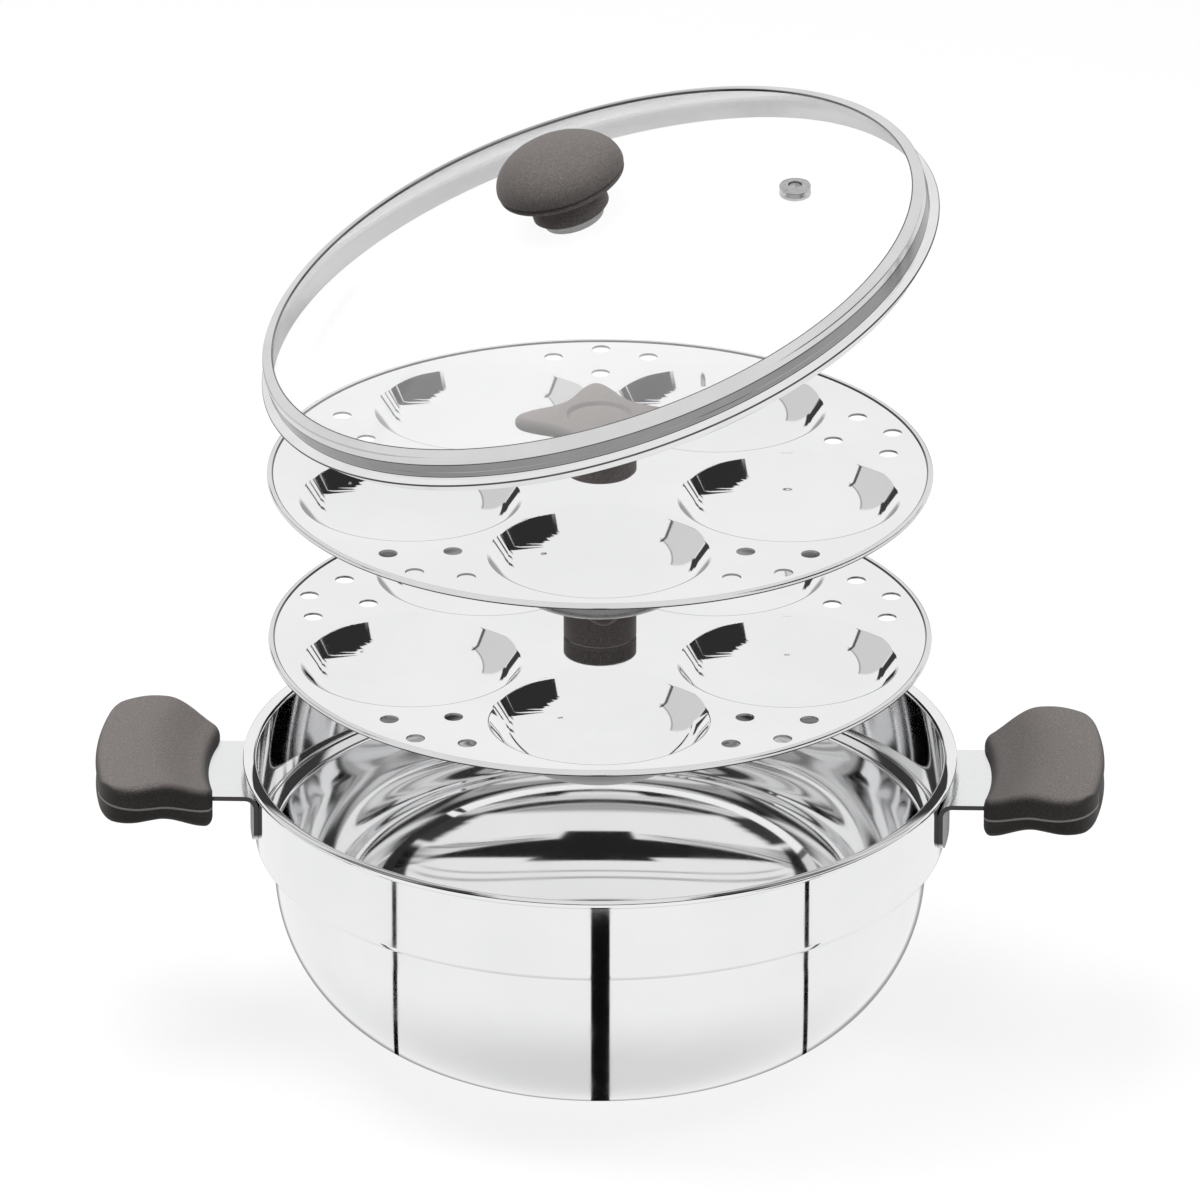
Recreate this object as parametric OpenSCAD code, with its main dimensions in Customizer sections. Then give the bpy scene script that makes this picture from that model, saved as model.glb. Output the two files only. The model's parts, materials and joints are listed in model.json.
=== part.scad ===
/* [Pot] */
// Diameter over the rim of the pot
pot_d = 240; // [220:1:270]
// Height of the pot from the table to the top of its rim
pot_h = 98; // [94:1:125]
// Thickness of the pot's sheet
pot_t = 0.8; // [0.6:0.05:1]
// Width of the flange from the mouth's inner face to its outer edge
rim_w = 4.8; // [4.2:0.1:7]
// Width of the hem folded under the flange's outer edge
hem_w = 2.2; // [1.8:0.1:2.8]
// Depth of the straight band below the top of the rim
band_h = 30; // [26:0.5:34]
// Width of the step from the band's outer face in to the bowl's
step_w = 6.4; // [5.6:0.1:9]
// Radius of the outer face between the bowl's wall and its base
bowl_corner_r = 57; // [45:1:61]
// Width of the ring that the pot stands on, from its inner edge to the start of the bowl's curve
foot_ring_w = 7.6; // [4:0.1:12]
// Height of the base inside that ring above the table
base_lift = 0.6; // [0.3:0.1:1.5]

/* [Handles] */
// Width of the strap that carries each grip
strap_w = 45; // [34:1:48]
// Thickness of the strap
strap_t = 1.6; // [1.2:0.1:2]
// Depth of the strap's top face below the rim
strap_drop = 7.5; // [6.5:0.1:9]
// Depth of the strap's lower end below the rim
leg_drop = 25; // [21:0.5:28]
// Radius inside the bend between the strap's leg and its arm
strap_bend_r = 3; // [2:0.1:5]
// Corner radius of the leg's lower end
leg_corner_r = 5; // [2:0.5:8]
// Gap from the rim's edge to the middle of the grip's inner edge
grip_gap = 12; // [9:0.5:20]
// Length of the grip along its middle
grip_l = 37.5; // [34:0.5:50]
// Width of the grip where it meets the strap
grip_neck_w = 53; // [51:1:62]
// Greatest width of the grip
grip_w = 80; // [66:1:96]
// Thickness of the grip at its middle
grip_t = 13.6; // [12.6:0.1:16]
// Height that the grip climbs from its inner end to its outer end
grip_rise = 5.1; // [3:0.1:5.5]
// Depth of the arch under the grip
grip_arch = 1.6; // [0:0.1:2]
// Height of the crown on the grip's top
grip_crown = 1.6; // [0:0.1:2]
// Plan radius of the grip's outer corners
grip_corner_r = 12; // [8:0.5:18]
// Rounding of the grip's two ends
grip_end_r = 3.2; // [2:0.1:4]
// Rounding of the grip's edges from end to end
grip_edge_r = 3; // [1.5:0.1:4]
// Distance of the grip's screw from the grip's inner edge
grip_screw_in = 8.5; // [8:0.1:12]
// Length of the strap beyond that screw, inside the grip
strap_end_l = 8.5; // [6.5:0.1:10]

/* [Tiers] */
// Thickness of the plates' sheet
plate_t = 0.8; // [0.6:0.05:1]
// Width of the plate's edge that bears on the pot's ledge
ledge_bite = 2.2; // [2:0.1:3]
// Radius of the bead rolled at the plate's edge
bead_r = 1.1; // [0.9:0.05:1.4]
// Number of cups in a plate
cups = 5; // [4:1:6]
// Land between a cup's mouth and the edge of its plate
cup_margin = 6.5; // [5:0.1:10]
// Land between two neighbouring cups
cup_web = 0.6; // [0.4:0.1:4]
// Depth of a cup
cup_depth = 14.5; // [12:0.1:16]
// Bend radius under a cup's lip
cup_lip_r = 2; // [1.2:0.1:3]
// Slope of a cup's wall from the horizontal
cup_slope = 55; // [45:1:62]
// Radius inside a cup between its wall and floor
cup_floor_r = 20; // [12:0.5:22]
// Diameter of a steam hole
steam_d = 6.4; // [4:0.1:7.5]
// Distance of the innermost steam hole beyond the circle of cup centres
steam_in = 16; // [14:0.5:20]
// Distance of the outermost steam hole inside the plate's edge
steam_out = 8; // [6.5:0.1:10]
// Distance of the paired steam holes inside the plate's edge
steam_pair_in = 13.6; // [11:0.1:16]
// Angle of the paired steam holes from the middle of their gap
steam_turn = 9.5; // [7:0.1:11]
// Turn of the cups' pattern about the stem
pattern_turn = 1.5; // [0:0.5:72]
// Spacing of the two plates when they are stacked
tier_pitch = 30; // [27:0.5:36]

/* [Star knobs] */
// Diameter of the stem
stem_d = 24.4; // [18:0.1:30]
// Height of the star knob over its plate
star_h = 20; // [17.5:0.1:24]
// Distance of the star's four tips from the stem's axis
star_tip_r = 28; // [24:0.5:34]
// Distance of the middle of the star's hollow sides from the axis
star_side_r = 16.8; // [15.6:0.1:20]
// Thickness of the star at its edge
star_edge_t = 5; // [3:0.1:6]
// Radius of the dish in the star's top
dish_r = 11; // [9.5:0.1:13]
// Depth of that dish
dish_depth = 1.2; // [0.8:0.1:2]
// Turn of the star about its stem
star_turn = 4.5; // [-45:0.5:45]

/* [Lid] */
// Width of the lid's flange that bears on the pot's rim
lid_lap = 2; // [1.6:0.1:3]
// Gap between the lid's skirt and the pot's mouth
skirt_gap = 1.2; // [1:0.1:2]
// Depth of the skirt below the flange
skirt_h = 3.5; // [2:0.1:5]
// Thickness of the lid's band
lid_band_t = 0.8; // [0.6:0.05:1]
// Height of the glass edge's lower corner over the flange
glass_edge_z = 4; // [3.2:0.1:6]
// Thickness of the glass
glass_t = 4; // [3:0.1:5]
// Width of the band's lips over and under the glass
lip_w = 2.6; // [1.8:0.1:4]
// Room between the upper star knob and the screw of the lid's knob
head_room = 1.4; // [1:0.1:6]
// Distance of the vent from the lid's axis
vent_r = 74; // [40:1:85]
// Direction of the vent about the lid's axis
vent_turn = -3; // [-180:1:180]
// Diameter of the vent's hole
vent_d = 4.6; // [3:0.1:5]
// Diameter of the vent eyelet's flanges
eyelet_d = 10.4; // [9:0.1:13]

/* [Lid knob] */
// Greatest diameter of the knob's cap
knob_d = 43.6; // [36:0.2:52]
// Height of the knob
knob_h = 25.5; // [23:0.5:32]
// Diameter of the knob's foot
knob_foot_d = 26; // [22:0.2:30]
// Diameter of the knob's waist
knob_waist_d = 22.4; // [18:0.2:24]
// Height of the cap's lower edge over the glass
cap_z = 10.5; // [9:0.1:13]

/* [Fasteners] */
// Diameter of the screws' shanks
screw_d = 4; // [3:0.1:4.6]
// Diameter of the screws' heads
head_d = 7.6; // [6.6:0.1:8.4]
// Height of the screws' heads
head_h = 2.2; // [1.6:0.1:2.6]
// Outer diameter of the brass inserts
insert_d = 6.6; // [6:0.1:7.4]
// Length of the inserts in the star knobs and the lid's knob
insert_l = 8; // [5:0.5:9]
// Thickness of the silicone gasket under the glass
gasket_t = 1.2; // [0.8:0.1:2]
// Thickness of the steel washer under the gasket
washer_t = 1; // [0.6:0.1:1.6]

/* [Clearances] */
// Radial gap around a shank, and between pieces that are pressed or moulded together
fit_gap = 0.05; // [0.02:0.01:0.1]
// Radial gap of the holes that shanks pass through
hole_gap = 0.3; // [0.2:0.05:0.5]
// Gap left at each seat when the tiers and the lid are down
seat_gap = 0.3; // [0.1:0.05:0.5]

/* [Lifted pose] */
// Height of the lower tier above its seat on the ledge
lower_lift = 71; // [0:1:120]
// Height of the upper tier above its seat on the lower star knob
upper_lift = 30; // [0:1:80]
// Height of the lid's centre above its seat, over the lifted tiers
lid_lift = 66.5; // [62:0.5:120]
// Tilt of the lifted lid
lid_tilt = 17.5; // [0:0.5:20]
// Direction of the lifted lid's low side
lid_low_side = 200; // [0:1:360]

/* [Hidden] */
$fn = 96;
steel = "#d9dadd";
strap_steel = "#c3c5c9";
bakelite = "#4d4847";
brass = "#c8a45a";

// Pot: radii of the mouth, the band and the bowl, and the height of the ledge
rim_r = pot_d / 2;
mouth_r = rim_r - rim_w;
band_r = mouth_r + pot_t;
bowl_r = band_r - step_w;
base_r = bowl_r - bowl_corner_r;
foot_ring_r = base_r - foot_ring_w;
ledge_z = pot_h - band_h;
ledge_top = ledge_z + pot_t;
rim_bend_r = 0.5;
ledge_out_r = 1.2;
ledge_in_r = 0.5;
ring_slope_w = 1.2;

// Plates: outline, and cups set out so that they fill the plate
plate_r = bowl_r - pot_t + ledge_bite;
cup_half_angle = 180 / cups;
cup_ring_r = (plate_r - cup_margin + cup_web / 2) / (1 + sin(cup_half_angle));
cup_r = cup_ring_r * sin(cup_half_angle) - cup_web / 2;
cup_lip_top_r = cup_lip_r + plate_t;
cup_wall_r = cup_r - cup_lip_top_r * sin(cup_slope);
cup_wall_z = -cup_lip_top_r * (1 - cos(cup_slope));
cup_floor_drop = cup_floor_r * (1 - cos(cup_slope));
cup_run = (cup_depth + cup_wall_z - cup_floor_drop) / tan(cup_slope);
cup_floor_flat_r = cup_wall_r - cup_run - cup_floor_r * sin(cup_slope);

// Heights of the plates' top faces, seated and as shown
bead_drop = bead_r + plate_t / 2;
lower_seat_z = ledge_top + seat_gap + bead_drop;
upper_seat_z = lower_seat_z + tier_pitch;
lower_z = lower_seat_z + lower_lift;
upper_z = upper_seat_z + lower_lift + upper_lift;

// Foot under each plate, down to the dish of the star knob below it
dish_play = 0.7;
foot_top_d = stem_d;
foot_tip_d = 2 * (dish_r - dish_play);
foot_h = tier_pitch - plate_t - star_h + dish_depth - seat_gap;
foot_recess_d = head_d + 1.2;
foot_recess_h = head_h + 0.8;
foot_collar_h = 2;
foot_tip_h = 1.5;
foot_edge = 0.7;
stem_edge = 0.8;
stem_fillet = 2;
stem_top = star_h - star_edge_t + 0.4;
star_rings = 7;
star_points = 72;
star_sharpness = 2.6;
star_round_w = 2.2;
tier_insert_z = 3;
blind_end = 0.5;
head_edge = 0.8;
cross_w = 0.9;
cross_depth = 1;

// Lid: flange, skirt and a glass dome that clears the stacked tiers
flange_r = mouth_r + lid_lap;
skirt_r = mouth_r - skirt_gap;
lid_seat_z = pot_h + seat_gap;
under_glass = 2 * seat_gap + gasket_t + washer_t + head_h;
dome_in_z = upper_seat_z + star_h + head_room + under_glass - lid_seat_z;
dome_z = dome_in_z + glass_t;
glass_r = skirt_r - lid_band_t - 2 * fit_gap;
glass_drop = dome_in_z - glass_edge_z;
glass_in_r = (glass_r * glass_r + glass_drop * glass_drop) / (2 * glass_drop);
glass_out_r = glass_in_r + glass_t;
dome_centre_z = dome_in_z - glass_in_r;
glass_top_edge_z = dome_centre_z + sqrt(pow(glass_out_r, 2) - pow(glass_r, 2));
glass_slope = asin(glass_r / glass_out_r);
lip_rise = lip_w * tan(glass_slope);
band_step = 0.5;
lip_gap = 0.15;
band_round_r = 0.9;
lip_edge_drop = 0.3;
skirt_edge = 0.2;
lid_centre_z = lid_seat_z + lower_lift + upper_lift + lid_lift;

// Heights in the lid's frame of the knob, and of what hangs under the glass
knob_seat_z = dome_z + fit_gap;
gasket_z = dome_in_z - seat_gap - gasket_t;
washer_z = gasket_z - washer_t;

// Vent eyelet and lid knob
barrel_r = vent_d / 2 + 0.8;
eyelet_t = 0.8;
rivet_gap = 0.1;
neck_edge = 0.6;
neck_z = 1.4;
cap_edge_r = 1;
groove_r = 0.35;
knob_edge_z = cap_z + 2 * cap_edge_r + 2 * groove_r;
gasket_r = 10;
washer_r = 8;
knob_insert_z = 1.5;

// Handles: places along the arm, and heights taken from the rim
strap_top = pot_h - strap_drop;
leg_r = band_r + fit_gap + strap_t;
bend_out_r = leg_r + strap_bend_r;
grip_in_x = rim_r + grip_gap;
grip_screw_x = grip_in_x + grip_screw_in;
strap_end_x = grip_screw_x + strap_end_l;
slot_gap = 0.15;
grip_neck_drop = 2;
grip_mid_z = strap_top - strap_t / 2 - grip_neck_drop;
grip_in_arc_r = 100;
grip_out_arc_r = 150;
grip_climb_end = 0.55;
grip_rings = 22;
grip_insert_l = 3;
grip_floor_t = 1.6;
grip_head_z = strap_top - strap_t - grip_floor_t;

function arc(x, z, r, from, to, steps = 8) =
    [for (i = [0:steps]) let (a = from + (to - from) * i / steps) [x + r * cos(a), z + r * sin(a)]];

function smooth(u) = let (v = min(max(u, 0), 1)) v * v * (3 - 2 * v);

function lerp(a, b, u) = a + (b - a) * u;

// Triangles that close a ring of m points, each rung joining point i to its mirror image
function cap(m) = [for (i = [0:m / 2 - 1]) each (
    i == 0 ? [[0, 1, m - 1]]
    : i == m / 2 - 1 ? [[i, i + 1, i + 2]]
    : [[i, i + 1, m - i - 1], [i, m - i - 1, m - i]])];

// Skin of a loft through rings of equal length, closed at both ends
module loft(rings) {
    m = len(rings[0]);
    last = (len(rings) - 1) * m;
    sides = [for (j = [0:m:last - m], i = [0:m - 1]) let (next = (i + 1) % m) each [
        [j + i, j + m + i, j + m + next],
        [j + i, j + m + next, j + next]
    ]];
    top = [for (f = cap(m)) [last + f[0], last + f[2], last + f[1]]];
    polyhedron(points = [for (r = rings) each r], faces = concat(sides, cap(m), top));
}

// Pot, pressed from one sheet
module pot_shell() {
    outside = concat(
        [[0, base_lift], [foot_ring_r - ring_slope_w, base_lift], [foot_ring_r, 0]],
        arc(base_r, bowl_corner_r, bowl_corner_r, -90, 0, 28),
        arc(bowl_r + ledge_in_r, ledge_z - ledge_in_r, ledge_in_r, 180, 90, 4),
        arc(mouth_r - ledge_out_r, ledge_top + ledge_out_r, ledge_out_r + pot_t, -90, 0),
        arc(band_r + rim_bend_r, pot_h - pot_t - rim_bend_r, rim_bend_r, 180, 90, 4),
        [[rim_r - hem_w, pot_h - pot_t], [rim_r - hem_w, pot_h - 2 * pot_t]],
        arc(rim_r - pot_t, pot_h - pot_t, pot_t, -90, 90)
    );
    inside = concat(
        arc(band_r + rim_bend_r, pot_h - pot_t - rim_bend_r, rim_bend_r + pot_t, 90, 180),
        arc(mouth_r - ledge_out_r, ledge_top + ledge_out_r, ledge_out_r, 0, -90, 6),
        arc(bowl_r + ledge_in_r, ledge_z - ledge_in_r, ledge_in_r + pot_t, 90, 180),
        arc(base_r, bowl_corner_r, bowl_corner_r - pot_t, 0, -90, 28),
        [[foot_ring_r, pot_t], [foot_ring_r - ring_slope_w, base_lift + pot_t], [0, base_lift + pot_t]]
    );
    color(steel) rotate_extrude() polygon(concat(outside, inside));
}

// Strap bent out from the band, with a leg curved to the pot's wall
module bracket() {
    bend_z = strap_top - strap_t - strap_bend_r;
    arm_r = bend_out_r + 4;
    leg_z = pot_h - leg_drop;
    side = concat(
        [[band_r + fit_gap, leg_z], [leg_r, leg_z]],
        arc(bend_out_r, bend_z, strap_bend_r, 180, 90),
        [[arm_r, strap_top - strap_t], [arm_r, strap_top]],
        arc(bend_out_r, bend_z, strap_bend_r + strap_t, 90, 180)
    );
    color(strap_steel) difference() {
        union() {
            intersection() {
                rotate_extrude() polygon(side);
                translate([0, 0, leg_z]) rotate([90, 0, 90]) linear_extrude(arm_r + 1) leg_outline();
            }
            translate([bend_out_r + 1, -strap_w / 2, strap_top - strap_t])
                cube([strap_end_x - bend_out_r - 1, strap_w, strap_t]);
        }
        translate([grip_screw_x, 0, strap_top - strap_t - 1])
            cylinder(d = screw_d + 2 * hole_gap, h = strap_t + 2);
    }
}

// Front view of the leg: square above, with two round corners at its lower end
module leg_outline() {
    translate([-strap_w / 2, leg_corner_r]) square([strap_w, leg_drop]);
    translate([-strap_w / 2 + leg_corner_r, 0]) square([strap_w - 2 * leg_corner_r, leg_corner_r + 1]);
    for (side = [-1, 1]) translate([side * (strap_w / 2 - leg_corner_r), leg_corner_r])
        circle(leg_corner_r);
}

// Half width of the grip at share u of its length
function grip_half_w(u) =
    let (into = max(0, grip_corner_r - (1 - u) * grip_l),
         corner = grip_corner_r - sqrt(pow(grip_corner_r, 2) - pow(into, 2)))
    lerp(grip_neck_w, grip_w, u * (2 - u)) / 2 - corner;

// Inset of the grip's skin where its ends are rounded
function grip_inset(u) =
    let (near = min(u, 1 - u) * grip_l, into = max(0, grip_end_r - near))
    grip_end_r - sqrt(pow(grip_end_r, 2) - pow(into, 2));

// Places round the upper half of the grip's section. Each holds its share of the flat width and of the
// flat height, then its shares of the edge's rounding, sideways and upward.
grip_upper_half = concat(
    [[1, 0, 1, 0]],
    [for (a = [18:18:90]) [1, 1, cos(a), sin(a)]],
    [for (s = [0.75:-0.25:-0.75]) [s, 1, 0, 1]],
    [for (a = [90:18:162]) [-1, 1, cos(a), sin(a)]],
    [[-1, 0, -1, 0]]
);
grip_section = concat(grip_upper_half, [for (i = [len(grip_upper_half) - 2:-1:1])
    let (s = grip_upper_half[i]) [s[0], -s[1], s[2], -s[3]]]);

// Point of the grip's skin at share u of its length and place s round its section
function grip_point(u, s) =
    let (inset = grip_inset(u),
         edge_r = grip_edge_r * (1 - inset / (grip_end_r + 1)),
         y = s[0] * (grip_half_w(u) - inset - edge_r) + s[2] * edge_r,
         x_in = grip_in_x - grip_in_arc_r + sqrt(pow(grip_in_arc_r, 2) - y * y),
         x_out = grip_in_x + grip_l - grip_out_arc_r + sqrt(pow(grip_out_arc_r, 2) - y * y),
         mid = grip_mid_z + grip_rise * smooth(u / grip_climb_end),
         swell = (s[1] > 0 ? grip_crown : -grip_arch) * pow(sin(180 * u), 2),
         half_t = grip_t / 2 - inset + swell)
    [lerp(x_in, x_out, u), y, mid + s[1] * (half_t - edge_r) + s[3] * edge_r];

// Moulded grip: a fan in plan, climbing outward, with an arch below and a crown above
module grip() {
    ease = [for (j = [0:grip_rings]) (1 - cos(180 * j / grip_rings)) / 2];
    color(bakelite) difference() {
        loft([for (u = ease) [for (s = grip_section) grip_point(u, s)]]);
        translate([rim_r, -strap_w / 2 - slot_gap, strap_top - strap_t - slot_gap])
            cube([strap_end_x + slot_gap - rim_r, strap_w + 2 * slot_gap, strap_t + 2 * slot_gap]);
        translate([grip_screw_x, 0, 0]) {
            translate([0, 0, grip_head_z - grip_t]) cylinder(d = head_d + 2 * hole_gap, h = grip_t);
            translate([0, 0, grip_head_z - 1])
                cylinder(d = screw_d + 2 * hole_gap, h = strap_top - grip_head_z);
            translate([0, 0, strap_top])
                cylinder(d = insert_d + 2 * fit_gap, h = slot_gap + grip_insert_l + fit_gap);
        }
    }
}

// Brass insert with its thread's bore, standing on z = 0
module insert(length) {
    color(brass) difference() {
        cylinder(d = insert_d, h = length);
        translate([0, 0, -1]) cylinder(d = screw_d + 2 * fit_gap, h = length + 2);
    }
}

// Screw pointing up, with the seat of its head at z = 0 and a cross recess below
module screw(length) {
    color(steel) difference() {
        union() {
            cylinder(d = screw_d, h = length);
            translate([0, 0, -head_h])
                cylinder(d1 = head_d - 2 * head_edge, d2 = head_d, h = head_edge);
            translate([0, 0, head_edge - head_h]) cylinder(d = head_d, h = head_h - head_edge);
        }
        for (a = [0, 90]) rotate(a) translate([-head_d / 4, -cross_w / 2, -head_h - 1])
            cube([head_d / 2, cross_w, cross_depth + 1]);
    }
}

// Sheet of a cup at a depth below its top face, from the lip in to the floor's middle
function cup_face(depth) = concat(
    arc(cup_r, -cup_lip_top_r, cup_lip_top_r - depth, 90, 90 + cup_slope, 6),
    arc(cup_floor_flat_r, cup_floor_r - cup_depth, cup_floor_r + depth, cup_slope - 90, -90, 12),
    [[0, -cup_depth - depth]]
);

// Plate with its cups, steam holes and rolled edge; its flat top face is at z = 0
module plate() {
    color(steel) difference() {
        union() {
            translate([0, 0, -plate_t]) cylinder(r = plate_r - bead_r, h = plate_t);
            rotate_extrude() translate([plate_r - bead_r, -plate_t / 2]) circle(bead_r, $fn = 32);
            each_cup() rotate_extrude()
                polygon(concat([[0, -plate_t / 2], [cup_r, -plate_t / 2]], cup_face(plate_t)));
        }
        each_cup() rotate_extrude() polygon(concat([[0, 1], [cup_r, 1]], cup_face(0)));
        for (i = [0:cups - 1]) rotate(cup_angle(i) + cup_half_angle) {
            steam_hole(cup_ring_r + steam_in, 0);
            steam_hole(plate_r - steam_out, 0);
            steam_hole(plate_r - steam_pair_in, steam_turn);
            steam_hole(plate_r - steam_pair_in, -steam_turn);
        }
        translate([0, 0, -plate_t - 1]) cylinder(d = screw_d + 2 * hole_gap, h = plate_t + 2);
    }
}

function cup_angle(i) = -90 + pattern_turn + 360 * i / cups;

module each_cup() {
    for (i = [0:cups - 1]) rotate(cup_angle(i)) translate([cup_ring_r, 0]) children();
}

module steam_hole(r, turn) {
    rotate(turn) translate([r, 0, -plate_t - 1]) cylinder(d = steam_d, h = plate_t + 2);
}

// Reach of the star from its axis in direction a, with tips at 0, 90, 180 and 270 degrees
function star_reach(a) = star_side_r + (star_tip_r - star_side_r) * pow(abs(cos(2 * a)), star_sharpness);

// Ring of the star's skin, at angle a round its edge from below (-90) to above (90)
function star_ring(a) =
    let (half = star_edge_t / 2, inset = star_round_w * (1 - cos(a)), z = star_h - half + half * sin(a))
    [for (i = [0:star_points - 1]) let (t = 360 * i / star_points, r = star_reach(t) - inset)
        [r * cos(t), r * sin(t), z]];

// Star knob on its stem, moulded in one piece, with the stem's foot at z = 0
module star_knob() {
    color(bakelite) difference() {
        union() {
            loft([for (j = [0:star_rings]) star_ring(180 * j / star_rings - 90)]);
            rotate_extrude() polygon(concat(
                [[0, 0], [stem_d / 2 - stem_edge, 0], [stem_d / 2, stem_edge]],
                arc(stem_d / 2 + stem_fillet, stem_top - stem_fillet, stem_fillet, 180, 90),
                [[0, stem_top]]
            ));
        }
        translate([0, 0, star_h - dish_depth]) rotate_extrude()
            polygon([[0, 0], [dish_r - 1, 0], [dish_r, dish_depth], [dish_r, dish_depth + 1],
                [0, dish_depth + 1]]);
        translate([0, 0, -1])
            cylinder(d = screw_d + 2 * hole_gap, h = tier_insert_z + insert_l + blind_end + 1);
        translate([0, 0, tier_insert_z]) cylinder(d = insert_d + 2 * fit_gap, h = insert_l + fit_gap);
    }
}

// Foot under a plate, with its top face at z = 0 and a recess for the screw's head
module foot() {
    color(bakelite) difference() {
        rotate_extrude() polygon([
            [0, 0], [foot_top_d / 2, 0], [foot_top_d / 2, -foot_collar_h],
            [foot_tip_d / 2, foot_tip_h - foot_h], [foot_tip_d / 2, foot_edge - foot_h],
            [foot_tip_d / 2 - foot_edge, -foot_h], [0, -foot_h]
        ]);
        translate([0, 0, -foot_h - 1]) cylinder(d = foot_recess_d, h = foot_recess_h + 1);
        translate([0, 0, -foot_h]) cylinder(d = screw_d + 2 * hole_gap, h = foot_h + 1);
    }
}

// Screw up through the foot and the plate into the star knob's insert
module tier_screw() {
    seat = -plate_t - foot_h + foot_recess_h;
    translate([0, 0, seat]) screw(tier_insert_z + insert_l - seat);
}

// Glass dome, ground flat at its edge, with holes for the vent and the knob's screw
module lid_glass() {
    color("#dfe7ea", 0.35) difference() {
        intersection() {
            translate([0, 0, dome_centre_z]) sphere(glass_out_r);
            cylinder(r = glass_r, h = dome_z + 1);
        }
        translate([0, 0, dome_centre_z]) sphere(glass_in_r);
        at_vent() translate([0, 0, -glass_t - 2]) cylinder(r = barrel_r + fit_gap, h = glass_t + 4);
        cylinder(d = screw_d + 2 * hole_gap, h = dome_z + 1);
    }
}

// Steel band that clasps the glass, with the flange on which the lid rests and its skirt
module lid_band() {
    outer = skirt_r + band_step;
    lip_r = glass_r - lip_w;
    top_z = glass_top_edge_z + lip_gap;
    under_z = glass_edge_z - lip_gap;
    crest_z = top_z + lid_band_t;
    color(steel) rotate_extrude() polygon(concat(
        [[skirt_r - lid_band_t, -skirt_h], [skirt_r - skirt_edge, -skirt_h]],
        [[skirt_r, skirt_edge - skirt_h], [skirt_r, 0]],
        arc(flange_r - lid_band_t / 2, lid_band_t / 2, lid_band_t / 2, -90, 90, 6),
        [[skirt_r, lid_band_t], [skirt_r, glass_edge_z - band_step], [outer, glass_edge_z]],
        arc(outer - band_round_r, crest_z + lip_edge_drop - band_round_r, band_round_r, 0, 90, 6),
        [[lip_r, crest_z + lip_rise], [lip_r, top_z + lip_rise]],
        [[glass_r + fit_gap, top_z], [glass_r + fit_gap, under_z]],
        [[lip_r, under_z], [lip_r, under_z - lid_band_t]],
        [[skirt_r - lid_band_t, under_z - lid_band_t]]
    ));
}

// Frame of the vent: on the dome's outer face and square to it
module at_vent() {
    lean = asin(vent_r / glass_out_r);
    translate([0, 0, dome_centre_z]) rotate([0, 0, vent_turn]) rotate([0, lean, 0])
        translate([0, 0, glass_out_r]) children();
}

// Steel eyelet riveted through the glass
module vent_eyelet() {
    under = -glass_t - rivet_gap;
    color(steel) at_vent() difference() {
        union() {
            translate([0, 0, under]) cylinder(r = barrel_r, h = rivet_gap - under);
            cylinder(d = eyelet_d, h = eyelet_t / 2);
            translate([0, 0, eyelet_t / 2])
                cylinder(d1 = eyelet_d, d2 = eyelet_d - 2 * eyelet_t, h = eyelet_t / 2);
            translate([0, 0, under - eyelet_t]) cylinder(d = eyelet_d, h = eyelet_t);
        }
        translate([0, 0, under - 2]) cylinder(d = vent_d, h = glass_t + 6);
    }
}

// Mushroom knob: a waisted neck and a domed cap with a groove above its edge
module lid_knob() {
    cap_r = knob_d / 2;
    dome_h = knob_h - knob_edge_z;
    dome = [for (a = [0:6:90]) [cap_r * cos(a), knob_edge_z + dome_h * sin(a)]];
    neck = [for (u = [0:0.125:1])
        [lerp(knob_foot_d, knob_waist_d, smooth(u)) / 2, lerp(neck_z, cap_z - neck_z, u)]];
    color(bakelite) difference() {
        rotate_extrude() polygon(concat(
            [[0, 0], [knob_foot_d / 2 - neck_edge, 0], [knob_foot_d / 2, neck_edge]],
            neck,
            [[knob_waist_d / 2 + neck_edge, cap_z]],
            arc(cap_r - groove_r - cap_edge_r, cap_z + cap_edge_r, cap_edge_r, -90, 40, 6),
            arc(cap_r - 2 * groove_r, knob_edge_z - 2 * groove_r, groove_r, -120, -270, 4),
            dome
        ));
        translate([0, 0, -1])
            cylinder(d = screw_d + 2 * hole_gap, h = knob_insert_z + insert_l + blind_end + 1);
        translate([0, 0, knob_insert_z]) cylinder(d = insert_d + 2 * fit_gap, h = insert_l + fit_gap);
    }
}

module ring(r, height) {
    difference() {
        cylinder(r = r, h = height);
        translate([0, 0, -1]) cylinder(d = screw_d + 2 * hole_gap, h = height + 2);
    }
}

module knob_screw() {
    reach = knob_seat_z + knob_insert_z + insert_l - washer_z;
    translate([0, 0, washer_z]) screw(reach);
}

// Poses of the lifted pieces
module at_lower() translate([0, 0, lower_z]) children();
module at_upper() translate([0, 0, upper_z]) children();

module at_lid() {
    tilt_axis = [-sin(lid_low_side), cos(lid_low_side), 0];
    translate([0, 0, lid_centre_z]) rotate(a = lid_tilt, v = tilt_axis) children();
}

module left_side() mirror([1, 0, 0]) children();

module both_sides() {
    children();
    left_side() children();
}

pot_shell();
left_side() bracket();  // bracket_left
bracket();  // bracket_right
left_side() grip();  // grip_left
grip();  // grip_right
both_sides() translate([grip_screw_x, 0, strap_top + slot_gap]) insert(grip_insert_l);  // grip_inserts
both_sides() translate([grip_screw_x, 0, grip_head_z])  // grip_screws
        screw(strap_top + slot_gap + grip_insert_l - grip_head_z);

at_lower() plate();  // lower_plate
at_lower() rotate(star_turn) star_knob();  // lower_star_knob
at_lower() translate([0, 0, tier_insert_z]) insert(insert_l);  // lower_insert
at_lower() translate([0, 0, -plate_t]) foot();  // lower_foot
at_lower() tier_screw();  // lower_screw

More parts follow.
